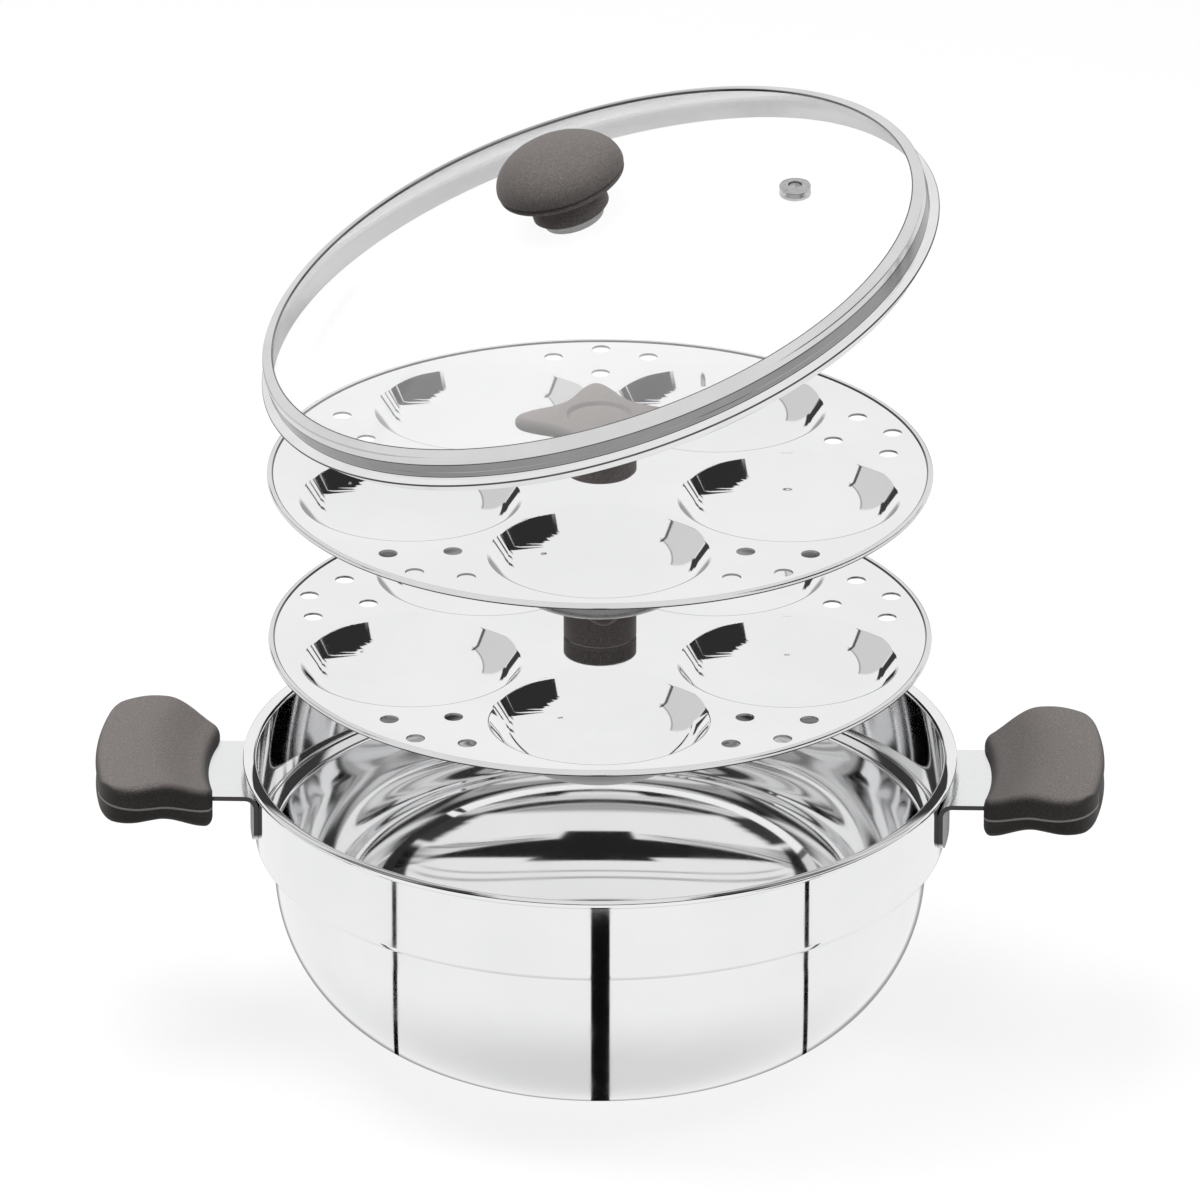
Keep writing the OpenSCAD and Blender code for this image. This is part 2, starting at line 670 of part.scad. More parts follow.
at_upper() plate();  // upper_plate
at_upper() rotate(star_turn) star_knob();  // upper_star_knob
at_upper() translate([0, 0, tier_insert_z]) insert(insert_l);  // upper_insert
at_upper() translate([0, 0, -plate_t]) foot();  // upper_foot
at_upper() tier_screw();  // upper_screw

at_lid() lid_glass();
at_lid() lid_band();
at_lid() vent_eyelet();
at_lid() translate([0, 0, knob_seat_z]) lid_knob();
at_lid() translate([0, 0, knob_seat_z + knob_insert_z]) insert(insert_l);  // knob_insert
at_lid() translate([0, 0, gasket_z]) color("#e8e8e6") ring(gasket_r, gasket_t);  // knob_gasket
at_lid() translate([0, 0, washer_z]) color(steel) ring(washer_r, washer_t);  // knob_washer
at_lid() knob_screw();
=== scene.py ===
"""Looks of the idli steamer: spun steel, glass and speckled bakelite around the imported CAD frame.

Lengths of the pieces and cards are in millimetres, as in the part's source, and their meshes are scaled when made.
Those of the camera, the lamps, the floor and the flags' distance are in metres.
"""

import json
import math

import bmesh
import bpy
import numpy as np
from mathutils import Matrix, Vector
from mathutils.geometry import delaunay_2d_cdt

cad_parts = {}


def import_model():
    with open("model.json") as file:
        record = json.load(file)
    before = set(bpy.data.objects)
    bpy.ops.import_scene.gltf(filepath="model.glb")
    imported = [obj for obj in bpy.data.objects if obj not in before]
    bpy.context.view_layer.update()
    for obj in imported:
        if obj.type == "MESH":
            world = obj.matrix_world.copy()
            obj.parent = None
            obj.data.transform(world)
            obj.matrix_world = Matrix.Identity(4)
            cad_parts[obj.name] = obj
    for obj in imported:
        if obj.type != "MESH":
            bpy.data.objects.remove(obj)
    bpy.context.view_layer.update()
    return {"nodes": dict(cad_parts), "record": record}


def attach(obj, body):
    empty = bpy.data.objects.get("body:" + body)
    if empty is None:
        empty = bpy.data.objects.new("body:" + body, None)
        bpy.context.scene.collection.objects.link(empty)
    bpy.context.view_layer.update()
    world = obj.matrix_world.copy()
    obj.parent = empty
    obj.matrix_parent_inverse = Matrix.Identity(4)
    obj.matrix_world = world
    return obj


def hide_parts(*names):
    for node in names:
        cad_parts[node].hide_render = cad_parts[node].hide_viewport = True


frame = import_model()

MM = 0.001

# ---------------------------------------------------------------- sizes

# Repeated from the part's source. The last entries of a table are details that only the looks have.
POT = dict(rim_r=120.0, mouth_r=115.2, band_r=116.0, bowl_r=109.6, base_r=52.6, corner_r=57.0, h=98.0,
           ledge_z=68.0, t=0.8, hem_w=2.2, foot_r=45.0, lift=0.6, lift_run=1.2, bend_r=0.5, ledge_r=1.2,
           even=0.2)
PLATE = dict(r=111.0, t=0.8, bead_r=1.1, cups=5, ring_r=66.0, cup_r=38.5, depth=14.5, lip_r=2.0, slope=55.0,
             floor_r=20.0, floor_flat_r=16.5, steam_d=6.4, turn=-88.5, screw_hole_r=2.3)
STEAM_HOLES = ((82.0, 0.0), (103.0, 0.0), (97.4, 9.5), (97.4, -9.5))
# Painted shade on the bead, from dark to bright: heights over the flat, and distances in from the rim
BEAD_SEAM, BEAD_CREASE = (-0.8, -0.55), (1.75, 1.55)
LOWER_Z, UPPER_Z, LID_Z = 141.6, 201.6, 265.8
LID_TILT, LID_LOW_SIDE = 17.5, 200.0
STAR = dict(h=20.0, tip=28.0, edge=5.0, dish_r=11.0, dish=1.2, turn=4.5, stem_d=24.4, round_w=2.2,
            side=16.1, blunt=0.2, power=1.6, foot_h=6.0, chamfer=0.8, fillet=2.0, overlap=0.4, dish_slope=1.0,
            under_r=4.0, middle_r=2.0)
GRIP = dict(x=132.0, l=37.5, neck=53.0, w=80.0, t=13.6, rise=5.1, arch=1.6, crown=1.6, corner=12.0, end=3.2,
            edge=3.0, mid_z=87.7, in_r=100.0, out_r=150.0, climb_end=0.55)
SEAM_HALF, SEAM_SOFT, SEAM_FOOT, SEAM_PROUD = 0.3, 0.15, 0.55, 0.16
GLASS = dict(r=113.1, in_z=28.7, t=4.0, edge_z=4.0)
LID_BAND = dict(skirt_r=114.0, flange_r=117.2, lip_r=110.5, t=0.8, skirt_z=-3.5, chamfer=0.2, clasp=0.15,
                play=0.05, step=0.5, crest_r=0.9, crest_up=0.3)
# Painted reflections and painted shade on the band: `lip` and `lip_seam` are depths under the top of the glass's
# edge, `inner` and `outer` are distances in from the lip's and the flange's edge, and the others radii and heights
# over the lid's seat.
BAND_PAINTED_SHADING = dict(lip=(1.9, 1.5), lip_seam=1.75, flange=(1.9, 2.3), flange_seam=1.9, inside_r=(113.4, 113.7),
                  inside_z=(4.1, 4.3), seam_half=0.15, seam_soft=0.1, inner=(0.25, 0.45), outer=(0.3, 0.15))
KNOB = dict(r=21.8, h=25.5, foot_r=13.0, waist_r=11.2, cap_z=10.5, edge_r=1.0, groove_r=0.35, neck_z=1.4,
            chamfer=0.6, flare=0.6, gap=0.05)


# ---------------------------------------------------------------- shapes

def arc(x, z, r, start, end, steps):
    return [(x + r * math.cos(a), z + r * math.sin(a)) for a in np.radians(np.linspace(start, end, steps + 1))]


def circle(x, y, r, n):
    return [(x + r * math.cos(2 * math.pi * i / n), y + r * math.sin(2 * math.pi * i / n)) for i in range(n)]


def smooth(u):
    v = min(max(u, 0.0), 1.0)
    return v * v * (3 - 2 * v)


def revolve(profile, around, closed=False):
    """Vertices and faces of a profile of (radius, height) turned about Z. A radius of 0 becomes one point."""
    verts, rings = [], []
    for r, z in profile:
        if r < 1e-6:
            rings.append([len(verts)] * around)
            verts.append((0.0, 0.0, z))
        else:
            rings.append(list(range(len(verts), len(verts) + around)))
            verts += [(x, y, z) for x, y in circle(0.0, 0.0, r, around)]
    faces = []
    pairs = list(zip(rings, rings[1:])) + ([(rings[-1], rings[0])] if closed else [])
    for low, high in pairs:
        for i in range(around):
            j = (i + 1) % around
            corners = [low[i], low[j], high[j], high[i]]
            face = [c for k, c in enumerate(corners) if c not in corners[:k]]
            if len(face) > 2:
                faces.append(face)
    return verts, faces


def shifted(part, dx, dy):
    """The same vertices and faces, moved level."""
    return [(x + dx, y + dy, z) for x, y, z in part[0]], part[1]


def loft(rings):
    """Skin through rings of equal length, closed at both ends by a fan to the ring's middle."""
    m = len(rings[0])
    verts = [p for ring in rings for p in ring]
    faces = [(j * m + i, j * m + (i + 1) % m, (j + 1) * m + (i + 1) % m, (j + 1) * m + i)
             for j in range(len(rings) - 1) for i in range(m)]
    for ring, start, turn in ((rings[0], 0, -1), (rings[-1], (len(rings) - 1) * m, 1)):
        middle = len(verts)
        verts.append(tuple(np.mean(ring, axis=0)))
        for i in range(m):
            faces.append((start + i, start + (i + 1) % m, middle)[::turn])
    return verts, faces


def pot_outside(steps=40):
    """The pot's outer face from the middle of its base up to the hem, as (radius, height). The short strips of
    height `even` beside the bends keep the shading of the long straight walls level."""
    p = POT
    ledge_top = p["ledge_z"] + p["t"] + p["ledge_r"]
    neck = p["h"] - p["t"] - p["bend_r"]
    return ([(0, p["lift"]), (p["foot_r"] - p["lift_run"], p["lift"]), (p["foot_r"], 0)]
            + arc(p["base_r"], p["corner_r"], p["corner_r"], -90, 0, steps)
            + [(p["bowl_r"], p["ledge_z"] - p["bend_r"] - p["even"])]
            + arc(p["bowl_r"] + p["bend_r"], p["ledge_z"] - p["bend_r"], p["bend_r"], 180, 90, 5)
            + arc(p["mouth_r"] - p["ledge_r"], ledge_top, p["ledge_r"] + p["t"], -90, 0, 8)
            + [(p["band_r"], ledge_top + p["even"]), (p["band_r"], neck - p["even"])]
            + arc(p["band_r"] + p["bend_r"], neck, p["bend_r"], 180, 90, 4)
            + [(p["rim_r"] - p["hem_w"], p["h"] - p["t"]), (p["rim_r"] - p["hem_w"], p["h"] - 2 * p["t"])]
            + arc(p["rim_r"] - p["t"], p["h"] - p["t"], p["t"], -90, 90, 14))


def pot_profile():
    p = POT
    inner_bend = p["bend_r"] + p["t"]
    inside = (arc(p["band_r"] + p["bend_r"], p["h"] - inner_bend, inner_bend, 90, 180, 8)
              + arc(p["mouth_r"] - p["ledge_r"], p["ledge_z"] + p["t"] + p["ledge_r"], p["ledge_r"], 0, -90, 6)
              + arc(p["bowl_r"] + p["bend_r"], p["ledge_z"] - p["bend_r"], inner_bend, 90, 180, 8)
              + arc(p["base_r"], p["corner_r"], p["corner_r"] - p["t"], 0, -90, 40)
              + [(p["foot_r"], p["t"]), (p["foot_r"] - p["lift_run"], p["lift"] + p["t"]),
                 (0, p["lift"] + p["t"])])
    return pot_outside() + inside


def cup_face(below):
    """A cup from its lip to the middle of its floor, that far below the plate's top face."""
    p = PLATE
    lip = p["lip_r"] + p["t"]
    return (arc(p["cup_r"], -lip, lip - below, 90, 90 + p["slope"], 10)
            + arc(p["floor_flat_r"], p["floor_r"] - p["depth"], p["floor_r"] + below, p["slope"] - 90, -90, 18)
            + [(0.5 * p["floor_flat_r"], -p["depth"] - below), (0, -p["depth"] - below)])


def plate_parts():
    """A plate in three: its polished top with the cups' insides, its duller underside with the walls of the
    holes, both darkened as painted shade, and the rolled bead round it. The top face is at z = 0."""
    p = PLATE
    cup_n, hole_n, edge_n = 160, 40, 320
    bead_x = p["r"] - p["bead_r"]
    edge_r = bead_x - math.sqrt(p["bead_r"] ** 2 - (p["t"] / 2) ** 2)
    cups, holes = [], [(0.0, 0.0, p["screw_hole_r"])]
    for i in range(p["cups"]):
        a = math.radians(p["turn"] + 360 * i / p["cups"])
        cups.append((p["ring_r"] * math.cos(a), p["ring_r"] * math.sin(a)))
        for r, turn in STEAM_HOLES:
            b = math.radians(p["turn"] + 360 * (i + 0.5) / p["cups"] + turn)
            holes.append((r * math.cos(b), r * math.sin(b), p["steam_d"] / 2))
    loops = ([circle(0, 0, edge_r, edge_n)] + [circle(x, y, p["cup_r"], cup_n) for x, y in cups]
             + [circle(x, y, r, hole_n) for x, y, r in holes])
    points, edges = [], []
    for loop in loops:
        base, n = len(points), len(loop)
        points += [Vector(q) for q in loop]
        edges += [(base + i, base + (i + 1) % n) for i in range(n)]
    out, _, triangles, *_ = delaunay_2d_cdt(points, edges, [], 0, 1e-6)
    # A triangle belongs to a cup or a hole when its middle is inside by this share of the radius
    cup_share, hole_share = 0.9997, 0.99
    kept = []
    for tri in triangles:
        x, y = np.mean([out[i] for i in tri], axis=0)
        inside_cup = any(math.hypot(x - cx, y - cy) < p["cup_r"] * cup_share for cx, cy in cups)
        inside_hole = any(math.hypot(x - hx, y - hy) < r * hole_share for hx, hy, r in holes)
        if math.hypot(x, y) < edge_r and not inside_cup and not inside_hole:
            kept.append(tuple(tri))
    top = [(q[0], q[1], 0.0) for q in out]
    under = [(q[0], q[1], -p["t"]) for q in out]
    above, below = [(top, kept)], [(under, [t[::-1] for t in kept])]
    for x, y in cups:
        above.append(shifted(revolve(cup_face(0), cup_n), x, y))
        below.append(shifted(revolve(cup_face(p["t"]), cup_n), x, y))
    for x, y, r in holes:
        below.append(shifted(revolve([(r, 0.0), (r, -p["t"])], hole_n), x, y))
    start = math.degrees(math.asin(p["t"] / 2 / p["bead_r"]))
    bead = arc(bead_x, -p["t"] / 2, p["bead_r"], 180 - start, start - 180, 24)
    return above, below, [revolve(bead, edge_n)]


def star_parts():
    """A star knob in two: the star with hollow sides and a dished top on its stem, and the stem's foot, which
    alone shows in the plate's polish. The foot stands on z = 0."""
    s = STAR
    angles = [2 * math.pi * i / 240 for i in range(240)]

    def reach(a):
        hollow = 1 + s["blunt"] - math.hypot(math.sin(2 * a), s["blunt"])
        return s["side"] + (s["tip"] - s["side"]) * hollow ** s["power"]

    def ring(inset, z):
        return [((reach(a) - inset) * math.cos(a), (reach(a) - inset) * math.sin(a), z) for a in angles]

    def disc(r, z):
        return [(r * math.cos(a), r * math.sin(a), z) for a in angles]

    half = s["edge"] / 2
    under, dish_z = s["h"] - s["edge"], s["h"] - s["dish"]
    skin = [disc(s["under_r"], under)]
    skin += [ring(s["round_w"] * (1 - math.cos(b)), s["h"] - half + half * math.sin(b))
             for b in np.radians(np.linspace(-90, 90, 15))]
    skin += [disc(s["dish_r"], s["h"]), disc(s["dish_r"] - s["dish_slope"], dish_z), disc(s["middle_r"], dish_z)]
    stem_r, stem_top = s["stem_d"] / 2, under + s["overlap"]
    stem_foot = [(0, 0), (stem_r - s["chamfer"], 0), (stem_r, s["chamfer"]), (stem_r, s["foot_h"]),
                 (0, s["foot_h"])]
    stem = ([(0, s["foot_h"]), (stem_r, s["foot_h"])]
            + arc(stem_r + s["fillet"], stem_top - s["fillet"], s["fillet"], 180, 90, 8) + [(0, stem_top)])
    return [loft(skin), revolve(stem, 96)], [revolve(stem_foot, 96)]


def grip_section():
    """Places round the grip's section: shares of the flat width and height, shares of the edge's rounding,
    then millimetres up and out, which draw the fine seam of the mould along both sides."""
    seam = [(SEAM_HALF, SEAM_PROUD), (SEAM_FOOT, 0.0)]
    upper = [(1, 0, 1, 0, up, out) for up, out in seam]
    upper += [(1, 1, math.cos(a), math.sin(a), 0, 0) for a in np.radians(np.linspace(4.5, 90.0, 10))]
    upper += [(s, 1, 0, 1, 0, 0) for s in np.linspace(0.95, -0.95, 24)]
    upper += [(-1, 1, math.cos(a), math.sin(a), 0, 0) for a in np.radians(np.linspace(90.0, 175.5, 10))]
    upper += [(-1, 0, -1, 0, up, out) for up, out in seam[::-1]]
    return upper + [(w, -h, sideways, -upward, -up, out) for w, h, sideways, upward, up, out in upper[::-1]]


def grip_parts(side):
    """Fan-shaped grip, climbing outward, with an arch below and a crown above. side is 1 right, -1 left."""
    g = GRIP

    def point(u, place):
        wide, high, sideways, upward, up, out = place
        into = max(0.0, g["corner"] - (1 - u) * g["l"])
        corner = g["corner"] - math.sqrt(g["corner"] ** 2 - into ** 2)
        near = max(0.0, g["end"] - min(u, 1 - u) * g["l"])
        inset = g["end"] - math.sqrt(g["end"] ** 2 - near ** 2)
        half_w = (g["neck"] + (g["w"] - g["neck"]) * u * (2 - u)) / 2 - corner
        edge = g["edge"] * (1 - inset / (g["end"] + 1))
        y = wide * (half_w - inset - edge) + sideways * (edge + out)
        x_in = g["x"] - g["in_r"] + math.sqrt(g["in_r"] ** 2 - y * y)
        x_out = g["x"] + g["l"] - g["out_r"] + math.sqrt(g["out_r"] ** 2 - y * y)
        mid = g["mid_z"] + g["rise"] * smooth(u / g["climb_end"])
        swell = (g["crown"] if high > 0 else -g["arch"]) * math.sin(math.pi * u) ** 2
        half_t = g["t"] / 2 - inset + swell
        return side * (x_in + (x_out - x_in) * u), y, mid + high * (half_t - edge) + upward * edge + up

    lengths = 70
    shares = [(1 - math.cos(math.pi * j / lengths)) / 2 for j in range(lengths + 1)]
    section = grip_section()
    return [loft([[point(u, place) for place in section] for u in shares])]


def dome():
    """Inner and outer radius of the glass dome and the height of its centre, over the lid's seat."""
    g = GLASS
    drop = g["in_z"] - g["edge_z"]
    inner = (g["r"] ** 2 + drop ** 2) / (2 * drop)
    return inner, inner + g["t"], g["in_z"] - inner


def glass_profile():
    inner, outer, centre = dome()
    wide_in, wide_out = (math.degrees(math.acos(GLASS["r"] / r)) for r in (inner, outer))
    return arc(0, centre, inner, 90, wide_in, 60) + arc(0, centre, outer, wide_out, 90, 60)


def glass_edge_top():
    """Height of the band's inside above the glass's edge, over the lid's seat."""
    _, outer, centre = dome()
    return centre + math.sqrt(outer ** 2 - GLASS["r"] ** 2) + LID_BAND["clasp"]


def lid_band_profile():
    g, b = GLASS, LID_BAND
    skirt, lip, t = b["skirt_r"], b["lip_r"], b["t"]
    _, outer, _ = dome()
    top, under = glass_edge_top(), g["edge_z"] - b["clasp"]
    crest = top + t
    rise = (g["r"] - lip) * g["r"] / math.sqrt(outer ** 2 - g["r"] ** 2)
    glass_r = g["r"] + b["play"]
    return ([(skirt - t, b["skirt_z"]), (skirt - b["chamfer"], b["skirt_z"]),
             (skirt, b["skirt_z"] + b["chamfer"]), (skirt, 0)]
            + arc(b["flange_r"] - t / 2, t / 2, t / 2, -90, 90, 10)
            + [(skirt, t), (skirt, g["edge_z"] - b["step"]), (skirt + b["step"], g["edge_z"])]
            + arc(skirt + b["step"] - b["crest_r"], crest + b["crest_up"] - b["crest_r"], b["crest_r"], 0, 90, 8)
            + [(lip, crest + rise), (lip, top + rise), (glass_r, top), (glass_r, under), (lip, under),
               (lip, under - t), (skirt - t, under - t)])


def knob_profile():
    k = KNOB
    neck = [(k["foot_r"] - (k["foot_r"] - k["waist_r"]) * smooth(u), k["neck_z"] + (k["cap_z"] - 2 * k["neck_z"]) * u)
            for u in np.linspace(0, 1, 13)]
    edge, groove = k["edge_r"], k["groove_r"]
    edge_z = k["cap_z"] + 2 * edge + 2 * groove
    cap = [(k["r"] * math.cos(a), edge_z + (k["h"] - edge_z) * math.sin(a))
           for a in np.radians(np.linspace(0, 90, 41))]
    return ([(0, 0), (k["foot_r"] - k["chamfer"], 0), (k["foot_r"], k["chamfer"])] + neck
            + [(k["waist_r"] + k["flare"], k["cap_z"])]
            + arc(k["r"] - groove - edge, k["cap_z"] + edge, edge, -90, 40, 10)
            + arc(k["r"] - 2 * groove, edge_z - 2 * groove, groove, -120, -270, 8) + cap[:-1] + [(0, k["h"])])


# ---------------------------------------------------------------- materials

class Nodes:
    """Short way to build a node tree. Each call gives the new node's output socket."""

    def __init__(self, tree):
        self.tree = tree
        tree.nodes.clear()

    def put(self, socket, value):
        if isinstance(value, bpy.types.NodeSocket):
            self.tree.links.new(value, socket)
        else:
            socket.default_value = value

    def node(self, kind, inputs=None, **settings):
        made = self.tree.nodes.new(kind)
        for key, value in settings.items():
            setattr(made, key, value)
        for key, value in (inputs or {}).items():
            self.put(made.inputs[key], value)
        return made

    def math(self, operation, *values, clamp=False):
        return self.node("ShaderNodeMath", dict(enumerate(values)), operation=operation, use_clamp=clamp).outputs[0]

    def add(self, a, b):
        return self.math("ADD", a, b)

    def less(self, a, b):
        return self.math("SUBTRACT", a, b)

    def times(self, a, b):
        return self.math("MULTIPLY", a, b)

    def size(self, a):
        return self.math("ABSOLUTE", a)

    def length(self, a, b):
        return self.math("SQRT", self.add(self.times(a, a), self.times(b, b)))

    def in_mm(self, value):
        return self.math("DIVIDE", value, MM)

    def most(self, first, *others):
        for other in others:
            first = self.math("MAXIMUM", first, other)
        return first

    def both(self, first, *others):
        """1 where every mask is 1."""
        for other in others:
            first = self.times(first, other)
        return first

    def step(self, value, low, high, to_low=0.0, to_high=1.0):
        """Smooth step of value between low and high, from to_low to to_high."""
        return self.node("ShaderNodeMapRange", {"Value": value, "From Min": low, "From Max": high,
                                                "To Min": to_low, "To Max": to_high},
                         interpolation_type="SMOOTHSTEP").outputs[0]

    def fall(self, value, low, high):
        return self.step(value, low, high, 1.0, 0.0)

    def near(self, value, middle, half, soft):
        """1 where value is within half of middle, falling to 0 over soft."""
        return self.fall(self.size(self.less(value, middle)), half, half + soft)

    def dim(self, level, mask, share):
        """The level lowered by share where mask is 1."""
        return self.times(level, self.less(1.0, self.times(mask, share)))

    def blend(self, share, a, b):
        """Number a where share is 0, number b where it is 1."""
        return self.node("ShaderNodeMix", {"Factor": share, "A": a, "B": b}, data_type="FLOAT").outputs[0]

    def mix(self, share, a, b, way="MIX"):
        """Colour a where share is 0, colour b where it is 1."""
        made = self.node("ShaderNodeMix", {"Factor": share}, data_type="RGBA", blend_type=way)
        self.put(made.inputs[6], a)
        self.put(made.inputs[7], b)
        return made.outputs[2]

    def noise(self, scale, detail, roughness, vector):
        return self.node("ShaderNodeTexNoise", {"Scale": scale, "Detail": detail, "Roughness": roughness,
                                                "Vector": vector}).outputs[0]

    def waver(self, value, span, reach):
        """Noise along one value, about reach to either side of 0, changing over span."""
        made = self.node("ShaderNodeTexNoise", {"W": value, "Scale": 1 / span, "Detail": 1.0},
                         noise_dimensions="1D")
        return self.times(self.less(made.outputs[0], 0.5), 4 * reach)

    def axes(self, vector):
        return list(self.node("ShaderNodeSeparateXYZ", {0: vector}).outputs)

    def place(self):
        return self.node("ShaderNodeTexCoord").outputs["Object"]

    def place_mm(self):
        return [self.in_mm(axis) for axis in self.axes(self.place())]

    def reach_mm(self, vector):
        """Distance of a vector from the Z axis, and its height."""
        x, y, z = self.axes(vector)
        return self.in_mm(self.length(x, y)), self.in_mm(z)

    def facing_up(self):
        return self.axes(self.node("ShaderNodeNewGeometry").outputs["Normal"])[2]

    def bump(self, shader, height, strength, distance):
        made = self.node("ShaderNodeBump", {"Strength": strength, "Distance": distance, "Height": height})
        self.put(shader.inputs["Normal"], made.outputs[0])


def rgb(r, g=None, b=None):
    return r, r if g is None else g, r if b is None else b, 1


def material(name, build):
    """A material whose surface is the socket that build gives."""
    made = bpy.data.materials.new(name)
    made.use_nodes = True
    g = Nodes(made.node_tree)
    g.node("ShaderNodeOutputMaterial", {"Surface": build(g)})
    return made


def principled(name, build, **plain):
    """A material around one Principled shader. plain sets its sockets; build adds the nodes that vary."""
    def surface(g):
        shader = g.node("ShaderNodeBsdfPrincipled")
        for key, value in plain.items():
            shader.inputs[key.replace("_", " ")].default_value = value
        build(g, shader)
        return shader.outputs[0]
    return material(name, surface)


def polished(g, shader):
    """Spun steel: faint smudges, and a slow wave in what it mirrors."""
    where = g.place()
    smudge = g.noise(14.0, 4.0, 0.6, where)
    tone = g.mix(g.step(smudge, 0.35, 0.7), rgb(0.86, 0.862, 0.868), rgb(0.9, 0.9, 0.902))
    g.put(shader.inputs["Base Color"], tone)
    g.put(shader.inputs["Roughness"], g.step(g.noise(35.0, 5.0, 0.65, where), 0.35, 0.75, 0.035, 0.075))
    g.bump(shader, g.noise(22.0, 1.0, 0.4, where), 0.04, 0.0006)


def brushed(g, shader):
    """Strap steel: brushed along X, with painted dark reflections on its upright faces and cut edges."""
    stretched = g.node("ShaderNodeMapping", {"Vector": g.place(), "Scale": (1.0, 22.0, 22.0)}).outputs[0]
    grain = g.noise(90.0, 4.0, 0.7, stretched)
    # Painted dark reflection: faces that stand upright get a near-black colour
    upright = g.fall(g.size(g.facing_up()), 0.3, 0.7)
    plain = g.mix(grain, rgb(0.8, 0.805, 0.81), rgb(0.9, 0.905, 0.91))
    g.put(shader.inputs["Base Color"], g.mix(upright, plain, rgb(0.06, 0.057, 0.056)))
    g.put(shader.inputs["Roughness"], g.step(grain, 0.2, 0.8, 0.16, 0.32))
    g.bump(shader, grain, 0.12, 0.0001)


def moulded(g, shader):
    """Bakelite: fine speckle under soft clouds. Gives the colour's socket."""
    where = g.place()
    speckle = g.noise(2600.0, 2.0, 0.6, where)
    cloud = g.noise(60.0, 3.0, 0.5, where)
    tone = g.mix(g.step(speckle, 0.45, 0.7), rgb(0.125, 0.113, 0.108), rgb(0.235, 0.216, 0.207))
    tone = g.mix(g.step(cloud, 0.3, 0.8, 0.0, 0.35), tone, rgb(0.155, 0.142, 0.136))
    g.put(shader.inputs["Base Color"], tone)
    g.put(shader.inputs["Roughness"], g.step(speckle, 0.3, 0.7, 0.42, 0.56))
    g.bump(shader, speckle, 0.25, 0.00008)
    return tone


def moulded_grip(g, shader):
    """Bakelite of the grips: painted light where it faces up, painted shade on the sides, and pale along the mould's
    seam.
    """
    tone = moulded(g, shader)
    # Painted light and shade: the colour is raised on faces that look up and lowered on the sides
    up = g.step(g.facing_up(), 0.35, 0.95)
    tone = g.mix(1.0, tone, g.mix(up, rgb(0.42), rgb(1.3)), way="MULTIPLY")

    x, y, z = g.place_mm()
    across = g.times(y, y)
    inner, outer = (g.add(at - r, g.math("SQRT", g.less(r ** 2, across)))
                    for at, r in ((GRIP["x"], GRIP["in_r"]), (GRIP["x"] + GRIP["l"], GRIP["out_r"])))
    share = g.math("DIVIDE", g.less(g.size(x), inner), g.less(outer, inner))
    middle = g.add(g.step(share, 0.0, GRIP["climb_end"], 0.0, GRIP["rise"]), GRIP["mid_z"])
    seam = g.both(g.near(g.less(z, middle), 0.0, SEAM_HALF, SEAM_SOFT), g.fall(up, 0.0, 0.3))
    g.put(shader.inputs["Base Color"], g.mix(seam, tone, rgb(0.42, 0.4, 0.39)))


def clear(g, shader):
    """Clear glass, nearly smooth, with a few duller patches."""
    where = g.place()
    g.put(shader.inputs["Roughness"], g.step(g.noise(30.0, 4.0, 0.6, where), 0.45, 0.8, 0.0, 0.03))
    g.bump(shader, g.noise(18.0, 1.0, 0.4, where), 0.02, 0.0005)


def grained(tone_a, tone_b, scale, rough_low, rough_high):
    """Nodes for a plain surface with a fine grain between two tones."""
    def build(g, shader):
        grain = g.noise(scale, 3.0, 0.6, g.place())
        g.put(shader.inputs["Base Color"], g.mix(grain, tone_a, tone_b))
        g.put(shader.inputs["Roughness"], g.step(grain, 0.25, 0.75, rough_low, rough_high))
        g.bump(shader, grain, 0.1, 0.00005)
    return build


def rolled(g, shader):
    """Steel of the plates' beads: painted shade in the rolled seam below and in the crease beside the flat."""
    reach, height = g.reach_mm(g.place())
    pitch = UPPER_Z - LOWER_Z
    over_flat = g.less(g.math("MODULO", height, pitch), LOWER_Z % pitch)
    # Painted shade: near black in the seam under the bead and in the crease beside the flat
    seam = g.fall(over_flat, *BEAD_SEAM)
    crease = g.fall(reach, *(PLATE["r"] - depth for depth in BEAD_CREASE))
    smudge = g.noise(40.0, 4.0, 0.6, g.place())
    tone = g.mix(smudge, rgb(0.66, 0.662, 0.668), rgb(0.8, 0.8, 0.802))
    g.put(shader.inputs["Base Color"], g.mix(g.most(seam, crease), tone, rgb(0.07, 0.068, 0.068)))
    g.put(shader.inputs["Roughness"], g.step(smudge, 0.3, 0.7, 0.08, 0.18))


